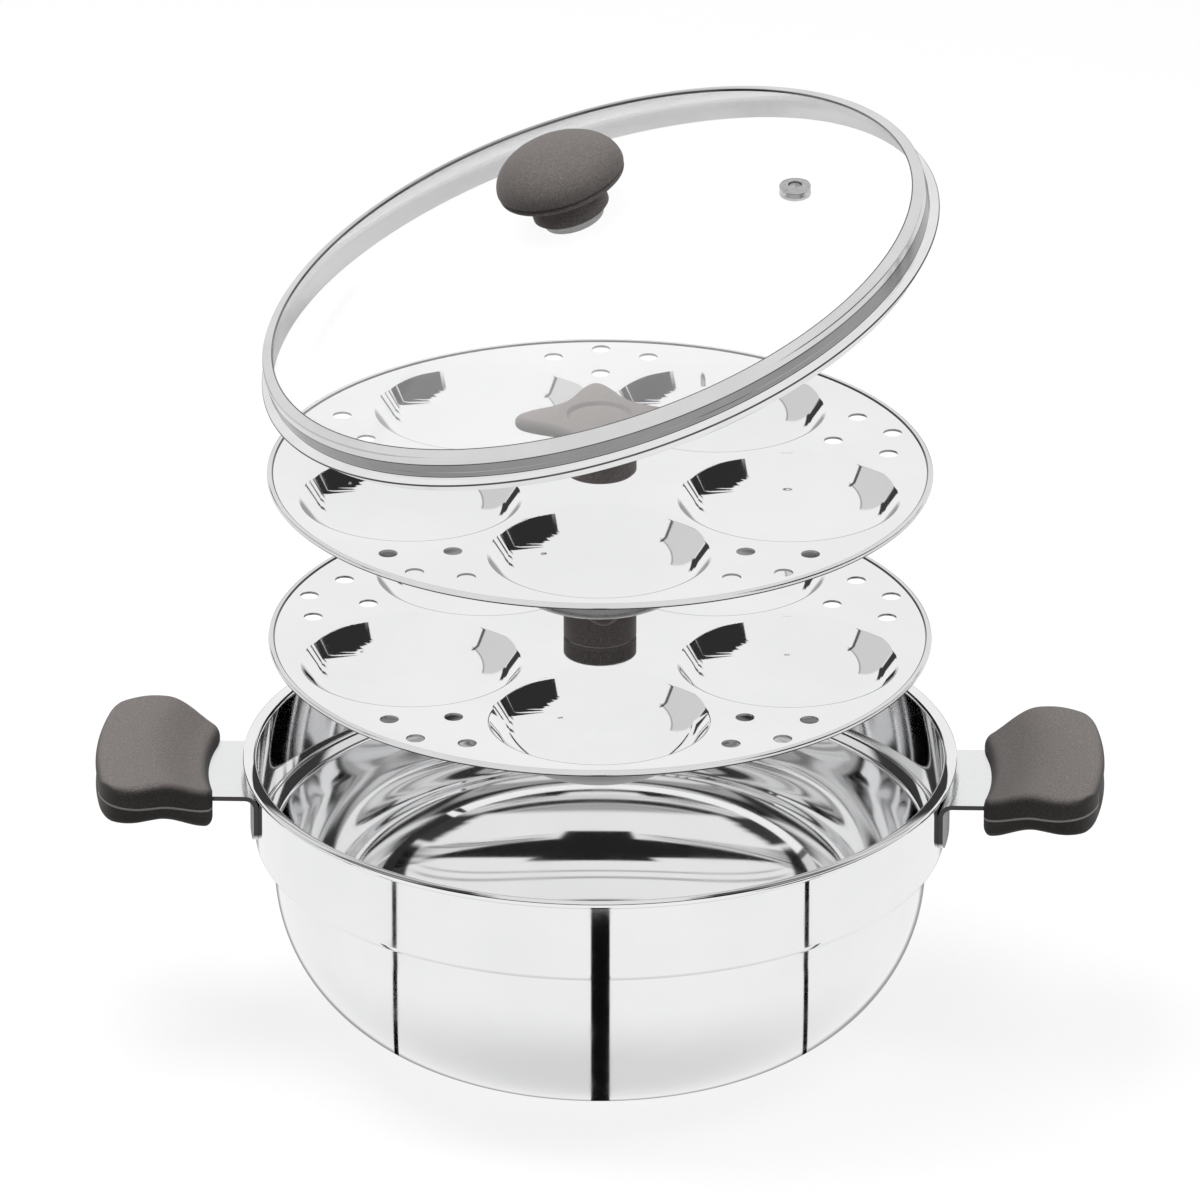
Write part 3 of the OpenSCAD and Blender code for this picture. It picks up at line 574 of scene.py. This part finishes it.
def clasp(g, shader):
    """Steel of the lid's band with painted reflections, a pale lip, a darker wall and a bright flange, and with
    painted shade inside the band and in its seams. Heights and distances are the lid's own."""
    local = g.node("ShaderNodeMapping", {"Vector": g.place(), "Location": at_lid.to_translation() * MM,
                                         "Rotation": at_lid.to_euler()}, vector_type="TEXTURE").outputs[0]
    reach, height = g.reach_mm(local)
    smudge = g.noise(30.0, 4.0, 0.6, g.place())
    b, edge_top = BAND_PAINTED_SHADING, glass_edge_top()
    # Painted reflections: a pale lip, a darker wall and a bright flange
    lip = g.step(height, *(edge_top - depth for depth in b["lip"]))
    tone = g.mix(lip, rgb(0.28, 0.277, 0.277), rgb(0.72, 0.72, 0.722))
    tone = g.mix(g.fall(height, *b["flange"]), tone, rgb(0.85))
    # Painted shade on the inside of the band, below the glass
    inside = g.both(g.fall(reach, *b["inside_r"]), g.fall(height, *b["inside_z"]))
    tone = g.mix(inside, tone, rgb(0.16, 0.155, 0.155))
    # Painted shade in the seams and along the lip's and the flange's edges
    lines = [g.near(height, z, b["seam_half"], b["seam_soft"]) for z in (edge_top - b["lip_seam"], b["flange_seam"])]
    seams = g.most(*lines, g.fall(reach, *(LID_BAND["lip_r"] + d for d in b["inner"])),
                   g.step(reach, *(LID_BAND["flange_r"] - d for d in b["outer"])))
    tone = g.mix(seams, tone, rgb(0.06, 0.058, 0.058))
    g.put(shader.inputs["Base Color"], g.mix(g.step(smudge, 0.3, 0.8, 0.0, 0.25), tone, rgb(0.5)))
    g.put(shader.inputs["Roughness"], g.step(smudge, 0.3, 0.7, 0.12, 0.22))


lid_axis = Vector((-math.sin(math.radians(LID_LOW_SIDE)), math.cos(math.radians(LID_LOW_SIDE)), 0))
at_lid = Matrix.Translation((0, 0, LID_Z)) @ Matrix.Rotation(math.radians(LID_TILT), 4, lid_axis)

STEEL = principled("polished_steel", polished, Metallic=1.0)
ROLLED = principled("rolled_steel", rolled, Metallic=1.0)
RING = principled("ring_steel", clasp, Metallic=1.0)
STRAP = principled("strap_steel", brushed, Metallic=1.0)
BAKELITE = principled("bakelite", moulded, Specular_IOR_Level=0.1)
GRIPS = principled("grip_bakelite", moulded_grip, Specular_IOR_Level=0.1)
GLASS_CLEAR = principled("glass", clear, Base_Color=rgb(1.0), Transmission_Weight=0.96, IOR=1.5)
BRASS = principled("brass", grained(rgb(0.72, 0.55, 0.27), rgb(0.82, 0.66, 0.36), 900.0, 0.2, 0.35),
                   Metallic=1.0)
ZINC = principled("fastener_steel", grained(rgb(0.6, 0.61, 0.63), rgb(0.76, 0.77, 0.78), 1200.0, 0.2, 0.4),
                  Metallic=1.0)
# Satin steel of the plates' undersides and the walls of their holes, its dark colour painted shade that makes the
# holes look black
SATIN_AND_SHADE = principled("satin_and_shade_steel", grained(rgb(0.2, 0.2, 0.203), rgb(0.33, 0.33, 0.333), 260.0, 0.22, 0.36),
                   Metallic=1.0)
EYELET = principled("eyelet_steel", grained(rgb(0.3, 0.3, 0.305), rgb(0.62, 0.62, 0.625), 700.0, 0.1, 0.25),
                    Metallic=1.0)
SILICONE = principled("silicone", grained(rgb(0.07, 0.066, 0.064), rgb(0.11, 0.105, 0.1), 700.0, 0.4, 0.6))

FINISH = {"polished_steel": STEEL, "strap_steel": STRAP, "bakelite": BAKELITE, "glass": GLASS_CLEAR,
          "brass": BRASS, "fastener_steel": ZINC, "silicone": SILICONE}
for row in frame["record"]["subparts"]:
    data = frame["nodes"][row["node"]].data
    data.materials.clear()
    data.materials.append(FINISH[row["material_slot"]])


# ---------------------------------------------------------------- pieces

def piece(name, parts, look, body, replaces, matrix=Matrix.Identity(4), sharp=35.0, weld=0.0,
          flats=False, mirrored=True):
    """One object from mesh parts in millimetres, placed by matrix (millimetres too) and riding on a body.
    flats keeps level faces level in shading, where they run into a curve. Where mirrored is off, the piece
    doesn't show in reflections, as the photograph is put together from pieces shot one by one."""
    mesh = bpy.data.meshes.new(name)
    verts, faces = [], []
    for part_verts, part_faces in parts:
        base = len(verts)
        verts += part_verts
        faces += [tuple(base + i for i in f) for f in part_faces]
    mesh.from_pydata([tuple(v) for v in verts], [], faces)
    mesh.transform(Matrix.Scale(MM, 4) @ matrix)
    bm = bmesh.new()
    bm.from_mesh(mesh)
    if weld:
        bmesh.ops.remove_doubles(bm, verts=bm.verts, dist=weld * MM)
    bmesh.ops.recalc_face_normals(bm, faces=bm.faces)
    bm.to_mesh(mesh)
    bm.free()
    mesh.shade_smooth()
    mesh.set_sharp_from_angle(angle=math.radians(sharp))
    if flats:
        level = [abs(f.normal.z) > 0.999999 for f in mesh.polygons]
        meeting = {}
        for f in mesh.polygons:
            for key in f.edge_keys:
                meeting.setdefault(key, set()).add(level[f.index])
        for e in mesh.edges:
            if len(meeting.get(e.key, ())) == 2:
                e.use_edge_sharp = True
    mesh.materials.append(look)
    made = bpy.data.objects.new(name, mesh)
    bpy.context.scene.collection.objects.link(made)
    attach(made, body)
    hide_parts(*replaces)
    made.visible_glossy = mirrored
    return made


piece("pot_bowl", [revolve(pot_profile(), 320)], STEEL, "pot", ["pot_shell"], weld=0.001)
for side, name in ((1, "right"), (-1, "left")):
    piece(f"grip_{name}_moulded", grip_parts(side), GRIPS, "pot", [f"grip_{name}"], sharp=60)

plate_top, plate_under, bead = plate_parts()
star, star_foot = star_parts()
for tier, z in (("lower", LOWER_Z), ("upper", UPPER_Z)):
    body, plate, knob = f"{tier}_tier", [f"{tier}_plate"], [f"{tier}_star_knob"]
    at_tier = Matrix.Translation((0, 0, z))
    at_star = at_tier @ Matrix.Rotation(math.radians(STAR["turn"]), 4, "Z")
    for name, parts, look in (("cup_plate", plate_top, STEEL), ("underside", plate_under, SATIN_AND_SHADE)):
        piece(f"{tier}_{name}", parts, look, body, plate, at_tier, sharp=20, weld=0.002,
              flats=True, mirrored=False)
    piece(f"{tier}_bead", bead, ROLLED, body, plate, at_tier, sharp=60, mirrored=False)
    piece(f"{tier}_star", star, BAKELITE, body, knob, at_star, mirrored=False)
    piece(f"{tier}_star_foot", star_foot, BAKELITE, body, knob, at_star, mirrored=tier == "lower")

lid_dome = piece("lid_dome", [revolve(glass_profile(), 256)], GLASS_CLEAR, "lid", ["lid_glass"], at_lid,
                 weld=0.001, mirrored=False)
lid_dome.visible_shadow = False
piece("lid_ring", [revolve(lid_band_profile(), 320, closed=True)], RING, "lid", ["lid_band"],
      at_lid, sharp=40, mirrored=False)
for name in ("lower_foot", "upper_foot", "lower_screw", "upper_screw", "lower_insert", "upper_insert",
             "knob_insert", "knob_gasket", "knob_washer", "knob_screw"):  # the hidden ones, like the pieces above
    frame["nodes"][name].visible_glossy = False
frame["nodes"]["vent_eyelet"].data.materials[0] = EYELET
knob_z = GLASS["in_z"] + GLASS["t"] + KNOB["gap"]
piece("lid_handle", [revolve(knob_profile(), 128)], BAKELITE, "lid", ["lid_knob"],
      at_lid @ Matrix.Translation((0, 0, knob_z)), weld=0.001, mirrored=False)

# ---------------------------------------------------------------- camera

# A long lens, level with the photograph's view
AZIMUTH, ELEVATION, CAMERA_FAR, CAMERA_LENS = math.radians(1.7), math.radians(24.15), 5.0, 448.5
CAMERA_AIM = Vector((0.0, 0.0, 0.1543))

back = Vector((math.sin(AZIMUTH) * math.cos(ELEVATION), -math.cos(AZIMUTH) * math.cos(ELEVATION),
               math.sin(ELEVATION)))
camera_data = bpy.data.cameras.new("camera")
camera_data.lens = CAMERA_LENS
camera_data.sensor_width = 36.0
camera_data.clip_end = 50.0
camera = bpy.data.objects.new("camera", camera_data)
camera.location = CAMERA_AIM + back * CAMERA_FAR
camera.rotation_euler = (-back).to_track_quat("-Z", "Y").to_euler()
bpy.context.scene.collection.objects.link(camera)
bpy.context.scene.camera = camera

# ---------------------------------------------------------------- studio

# Floor: half its side, its grey, and what it glows for the camera alone
FLOOR_HALF, FLOOR_TONE, FLOOR_GLOW = 12, 0.28, 0.76

# Level of the sky as polished metal mirrors it, and as it lights dull surfaces
MIRRORED_LEVEL, DIFFUSE_LEVEL = 0.95, 0.95

# Lamps: name, place, width and depth, watts
KEY_WATTS, FILL_SHARE = 11.0, 0.35
LAMPS = (("key", (-0.45, 0.1, 1.35), (0.7, 0.9), KEY_WATTS),
         ("fill", (0.7, -0.2, 1.15), (0.35, 0.8), KEY_WATTS * FILL_SHARE))
LAMP_AIM = Vector((0, 0, 0.15))

# Black ribbons: where on the pot's front they show as stripes, half the stripe's width, and how far off the pot the
# ribbon is
STRIPES = (("flag_middle", 0.1, 3.1), ("flag_left", -68.0, 0.75), ("flag_right", 68.4, 0.75))
FLAG_FAR = 0.25
FLAG_BLACK = rgb(0.004, 0.0035, 0.0035)

# The card over the pot's mouth, in millimetres from the pot's axis, x to the right and y to the back. Two values
# are the start and end of a soft step, three the middle, half width and softness of a band. `out` is the
# distance to either side of the middle. A `waver` or `thread` is the span and reach of a noise, and `dark` says
# what share of the light each form takes.
MOUTH = dict(z=112.0, r=118.0, level=0.86,
             back_reach=(97.0, 101.0), back_y=(40.0, 50.0),
             side_out=(72.0, 88.0), side_front=(-36.0, -26.0), side_back=(35.0, 41.0), side_waver=(9.0, 3.0),
             streak_y=21.0, streak_lean=0.5, streak_w=3.0, streak_fan=0.16, streak=(0.0, 0.9, 0.25),
             streak_out=(8.0, 20.0), streak_end=(55.0, 90.0), thread=(0.33, 0.25), thread_dark=(0.35, 0.75),
             thread_twist=0.02,
             stem_out=(0.0, 9.0, 2.0), stem_y=(37.0, 17.5, 1.5),
             crescent_y=40.0, crescent_bend=0.005, crescent_half=13.0, crescent_taper=0.2,
             ring_y=60.0, ring_waver=(14.0, 1.5), ring_thread=(4.5, 0.25), ring_level=0.42, ring_lift=0.35,
             ring_light=(134.0, 10.0, 5.0), ring_dark=(113.0, 5.0, 4.0), ring_out=(25.0, 50.0),
             ring_wide=(0.5, 0.75), ring_fine=(0.45, 0.7),
             front_y=(-26.0, -14.0), pale_y=(-84.0, -78.0), pale_out=(30.0, 36.0), pale=0.8,
             front_reach=(99.0, 102.0), front_end=(-91.0, -88.0), corner_y=(-82.0, -76.0),
             corner_out=(36.0, 42.0), rib_reach=(84.0, 90.0), rib_y=(-60.0, -50.0), rib_thread=(0.4, 0.6),
             lines=((66.0, 0.5, 0.7), (73.0, 0.9, 0.7)), line_out=(40.0, 70.0),
             dark=dict(back=0.95, sides=0.95, streaks=0.9, streak_ends=0.5, crescent=0.98, ring=0.9,
                       ring_wide=0.6, ring_fine=0.35, front=0.92, corners=0.8, ribs=0.85, lines=0.45))

# The sky that polished metal mirrors, in degrees and written as the card is: `turn` runs from the front to the
# right, `rise` up from level.
SKY = dict(below=(-80.0, -28.0), below_level=0.74,
           behind_turn=(157.0, 168.0), behind_rise=(-16.0, 18.0, 10.0),
           card_turn=(56.0, 58.0), card_low=(10.0, 13.0), card_cut=(138.0, 140.0), card_high=(44.0, 46.0),
           card_ragged=(5.0, 4.0), card_lean=0.7, card_tear=1.6,
           lines=((118.0, 0.5), (124.5, 0.8), (134.0, 1.2)), line_soft=0.8, line_rise=(4.0, 13.0, 4.0),
           line_lean=0.4, line_waver=(4.0, 1.6),
           pane_left=(-137.0, -133.0), pane_right=(-88.0, -85.0), pane_rise=(20.0, 14.0, 4.0),
           frame_turn=(-84.5, 1.2, 1.0), frame_rise=(22.0, 16.0, 3.0), frame_lean=0.1,
           bar_rise=(36.0, 0.5, 0.8), bar_turn=(-108.0, 24.0, 4.0),
           patch_turn=(-141.0, 5.0, 2.0), patch_rise=(5.0, 5.0, 2.0), patch_waver=(4.0, 2.0),
           lit_rise=(15.0, 75.0), lit_low=0.03,
           dark=dict(behind=0.62, card=0.97, lines=0.9, pane=0.28, frame=0.88, bar=0.5, patch=0.95))


def plain_mesh(name, verts, faces, look):
    mesh = bpy.data.meshes.new(name)
    mesh.from_pydata(verts, [], faces)
    mesh.materials.append(look)
    made = bpy.data.objects.new(name, mesh)
    bpy.context.scene.collection.objects.link(made)
    return made


def only_in_reflections(made):
    """The object shows in polished metal alone: it lights nothing and casts no shadow."""
    made.visible_camera = made.visible_diffuse = made.visible_transmission = made.visible_shadow = False
    made.visible_volume_scatter = False


def disc_card(name, r, z, n, look):
    rim = [(x * MM, y * MM, z * MM) for x, y in circle(0, 0, r, n)]
    only_in_reflections(plain_mesh(name, rim, [tuple(range(n))], look))


def emission(g, strength, colour=rgb(1)):
    return g.node("ShaderNodeEmission", {"Color": colour, "Strength": strength}).outputs[0]


def seen_directly(g):
    """1 for what the camera sees by itself or through glass."""
    rays = g.node("ShaderNodeLightPath").outputs
    return g.math("ADD", rays["Is Camera Ray"], rays["Is Transmission Ray"], clamp=True)


def floor_surface(g):
    glow = emission(g, g.times(seen_directly(g), FLOOR_GLOW))
    white = g.node("ShaderNodeBsdfDiffuse", {"Color": rgb(FLOOR_TONE)}).outputs[0]
    return g.node("ShaderNodeAddShader", {0: glow, 1: white}).outputs[0]


def flag(name, x, half_width, look):
    """A black ribbon where the pot's outer wall mirrors it as an upright stripe x millimetres off the middle."""
    # The ribbon follows the upright walls and the round of the base. It stops short of the base's flat, of the rim
    # and of the places that are seen edge-on.
    nearly, base_gap, top_gap, widest, grazing = 0.01, 1.0, 1.2, 0.98, -0.02
    round_top = POT["corner_r"] + nearly
    seen_from = np.array(Matrix.Rotation(-AZIMUTH, 3, "Z") @ camera.location)
    outline = pot_outside(60)
    walls = [(a, b) for a, b in zip(outline, outline[1:])
             if b[1] > a[1] and a[0] > POT["base_r"] + base_gap and (b[1] <= round_top or b[0] - a[0] < nearly)
             and b[1] < POT["h"] - top_gap]
    rows = []
    for (r0, z0), (r1, z1) in walls:
        for r, z in ((r0, z0), (r1, z1)):
            lean = math.atan2(r1 - r0, z1 - z0)
            if z1 <= round_top:
                lean = math.acos(min(1.0, (r - POT["base_r"]) / POT["corner_r"]))
            row = []
            for off in (x - half_width, x + half_width):
                if abs(off) > widest * r:
                    continue
                phi = math.asin(off / r)
                normal = np.array([math.cos(lean) * math.sin(phi), -math.cos(lean) * math.cos(phi),
                                   -math.sin(lean)])
                start = np.array([r * math.sin(phi), -r * math.cos(phi), z]) * MM
                sight = (start - seen_from) / np.linalg.norm(start - seen_from)
                if sight @ normal > grazing:
                    continue
                row.append(start + (sight - 2 * (sight @ normal) * normal) * FLAG_FAR)
            if len(row) == 2:
                rows.append(row)
    turn = Matrix.Rotation(AZIMUTH, 3, "Z")
    verts = [tuple(turn @ Vector(p)) for row in rows for p in row]
    faces = [(2 * i, 2 * i + 1, 2 * i + 3, 2 * i + 2) for i in range(len(rows) - 1)]
    only_in_reflections(plain_mesh(name, verts, faces, look))


def mouth_surface(g):
    """The light and dark forms that the inside of the pot mirrors, drawn on the card over its mouth."""
    m, dark = MOUTH, MOUTH["dark"]
    x, y, _ = g.place_mm()
    out, reach = g.size(x), g.length(x, y)

    # A dark edge at the back, and dark ragged sides
    level = g.dim(m["level"], g.both(g.step(reach, *m["back_reach"]), g.step(y, *m["back_y"])), dark["back"])
    ragged = g.add(out, g.waver(y, *m["side_waver"]))
    sides = g.both(g.step(ragged, *m["side_out"]), g.step(y, *m["side_front"]), g.fall(y, *m["side_back"]))
    level = g.dim(level, sides, dark["sides"])

    # Fine streaks that fan out to both sides
    over = g.less(g.less(y, m["streak_y"]), g.times(out, m["streak_lean"]))
    across = g.math("DIVIDE", over, g.add(m["streak_w"], g.times(out, m["streak_fan"])))
    streaks = g.both(g.near(across, *m["streak"]), g.step(out, *m["streak_out"]))
    thread = g.add(g.waver(g.add(across, g.times(x, m["thread_twist"])), *m["thread"]), 0.5)
    level = g.dim(level, g.both(streaks, g.step(thread, *m["thread_dark"])), dark["streaks"])
    level = g.dim(level, g.both(streaks, g.step(out, *m["streak_end"])), dark["streak_ends"])

    # The black crescent on the pot's floor, with a short black stem in its middle
    stem = g.both(g.near(out, *m["stem_out"]), g.near(y, *m["stem_y"]))
    bend = g.times(g.times(x, x), m["crescent_bend"])
    off = g.size(g.less(g.less(y, m["crescent_y"]), bend))
    half = g.less(m["crescent_half"], g.times(out, m["crescent_taper"]))
    level = g.dim(level, g.most(stem, g.fall(g.less(off, half), -1.0, 1.0)), dark["crescent"])

    # Grey rings in the front half, for the bright and dark arcs on the wall at the back
    ring_y = g.less(y, m["ring_y"])
    radius = g.length(x, ring_y)
    turn = g.times(g.math("ARCTAN2", x, g.times(ring_y, -1.0)), 180 / math.pi)
    thread = g.add(g.waver(g.add(radius, g.waver(turn, *m["ring_waver"])), *m["ring_thread"]), 0.5)
    rings = g.add(m["ring_level"], g.times(g.near(radius, *m["ring_light"]), m["ring_lift"]))
    rings = g.dim(rings, g.near(radius, *m["ring_dark"]), dark["ring"])
    wide = g.both(g.step(thread, *m["ring_wide"]), g.step(out, *m["ring_out"]))
    rings = g.dim(rings, wide, dark["ring_wide"])
    rings = g.dim(rings, g.step(thread, *m["ring_fine"]), dark["ring_fine"])
    level = g.blend(g.fall(y, *m["front_y"]), level, rings)

    # The card's front edge: pale in the middle, dark round it and in the corners
    level = g.blend(g.both(g.fall(y, *m["pale_y"]), g.fall(out, *m["pale_out"])), level, m["pale"])
    front = g.both(g.step(reach, *m["front_reach"]), g.fall(y, *m["front_end"]))
    level = g.dim(level, front, dark["front"])
    corner = g.both(g.fall(y, *m["corner_y"]), g.step(out, *m["corner_out"]))
    level = g.dim(level, corner, dark["corners"])
    ribs = g.both(g.step(reach, *m["rib_reach"]), g.fall(y, *m["rib_y"]), g.step(thread, *m["rib_thread"]),
                  g.step(out, *m["corner_out"]))
    level = g.dim(level, ribs, dark["ribs"])

    # Two thin lines farther back than the crescent, which show below it in the picture
    lines = g.most(*(g.near(y, *line) for line in m["lines"]))
    return emission(g, g.dim(level, g.both(lines, g.fall(out, *m["line_out"])), dark["lines"]))


def world():
    """Three skies in one, for the camera, for what mirrors it and for what it lights."""
    s, dark = SKY, SKY["dark"]
    made = bpy.data.worlds.new("studio")
    bpy.context.scene.world = made
    made.use_nodes = True
    g = Nodes(made.node_tree)
    x, y, z = g.axes(g.node("ShaderNodeTexCoord").outputs["Generated"])
    rise = g.times(g.math("ARCSINE", z), 180 / math.pi)
    turn = g.times(g.math("ARCTAN2", x, g.times(y, -1.0)), 180 / math.pi)

    # Pale all round, greyer below and behind
    level = g.step(rise, *s["below"], s["below_level"], MIRRORED_LEVEL)
    behind = g.both(g.step(g.size(turn), *s["behind_turn"]), g.near(rise, *s["behind_rise"]))
    level = g.dim(level, behind, dark["behind"])

    # A black card with torn edges to the right, for the black patch in each cup
    ragged = g.waver(g.add(turn, g.times(rise, s["card_lean"])), *s["card_ragged"])
    cut = g.add(g.add(turn, rise), g.times(ragged, s["card_tear"]))
    card = g.both(g.step(g.add(turn, ragged), *s["card_turn"]), g.step(rise, *s["card_low"]),
                  g.fall(cut, *s["card_cut"]), g.fall(g.add(rise, ragged), *s["card_high"]))
    level = g.dim(level, card, dark["card"])

    # Thin wavering lines beside it
    slant = g.less(turn, g.times(rise, s["line_lean"]))
    for middle, half in s["lines"]:
        bent = g.add(slant, g.waver(rise, *s["line_waver"]))
        line = g.both(g.near(bent, middle, half, s["line_soft"]), g.near(rise, *s["line_rise"]))
        level = g.dim(level, line, dark["lines"])

    # A grey pane to the left with a dark frame and a dark patch, for the right side of each cup
    pane = g.both(g.fall(turn, *s["pane_right"]), g.step(turn, *s["pane_left"]), g.near(rise, *s["pane_rise"]))
    level = g.dim(level, pane, dark["pane"])
    leaning = g.add(turn, g.times(g.less(rise, s["pane_rise"][0]), s["frame_lean"]))
    post = g.both(g.near(leaning, *s["frame_turn"]), g.near(rise, *s["frame_rise"]))
    level = g.dim(level, post, dark["frame"])
    level = g.dim(level, g.both(g.near(rise, *s["bar_rise"]), g.near(turn, *s["bar_turn"])), dark["bar"])
    wavering = g.add(turn, g.waver(rise, *s["patch_waver"]))
    patch = g.both(g.near(wavering, *s["patch_turn"]), g.near(rise, *s["patch_rise"]))
    level = g.dim(level, patch, dark["patch"])

    # Metal sees that sky, dull surfaces a plain one that is light from above, and the camera white
    lit = g.step(rise, *s["lit_rise"], s["lit_low"] * DIFFUSE_LEVEL, DIFFUSE_LEVEL)
    level = g.blend(g.node("ShaderNodeLightPath").outputs["Is Glossy Ray"], lit, level)
    level = g.blend(seen_directly(g), level, 1.0)
    light = g.node("ShaderNodeBackground", {"Color": rgb(1), "Strength": level})
    g.node("ShaderNodeOutputWorld", {"Surface": light.outputs[0]})


def lamp(name, place, size, watts):
    data = bpy.data.lights.new(name, "AREA")
    data.shape = "RECTANGLE"
    data.size, data.size_y = size
    data.energy = watts
    made = bpy.data.objects.new(name, data)
    made.location = place
    made.rotation_euler = (LAMP_AIM - Vector(place)).to_track_quat("-Z", "Y").to_euler()
    bpy.context.scene.collection.objects.link(made)
    made.visible_glossy = False


corners = [(x * FLOOR_HALF, y * FLOOR_HALF, 0) for x, y in ((-1, -1), (1, -1), (1, 1), (-1, 1))]
floor = plain_mesh("floor", corners, [(0, 1, 2, 3)], material("floor", floor_surface))
floor.visible_glossy = False

black = material("flag", lambda g: emission(g, 1.0, FLAG_BLACK))
for name, x, half_width in STRIPES:
    flag(name, x, half_width, black)
disc_card("mouth_card", MOUTH["r"], MOUTH["z"], 96, material("mouth_card", mouth_surface))

# The plates don't show in reflections. A pale disc inside the lower one keeps its cups from mirroring the stem's
# foot through the sheet, so that the flat round the stem mirrors it and the cups hardly do.
disc_card("stem_card", PLATE["ring_r"] - PLATE["cup_r"], LOWER_Z - PLATE["t"] / 2, 48,
          material("stem_card", lambda g: emission(g, MIRRORED_LEVEL)))

world()
for name, place, size, watts in LAMPS:
    lamp(name, place, size, watts)

bpy.context.scene.view_settings.view_transform = "Standard"
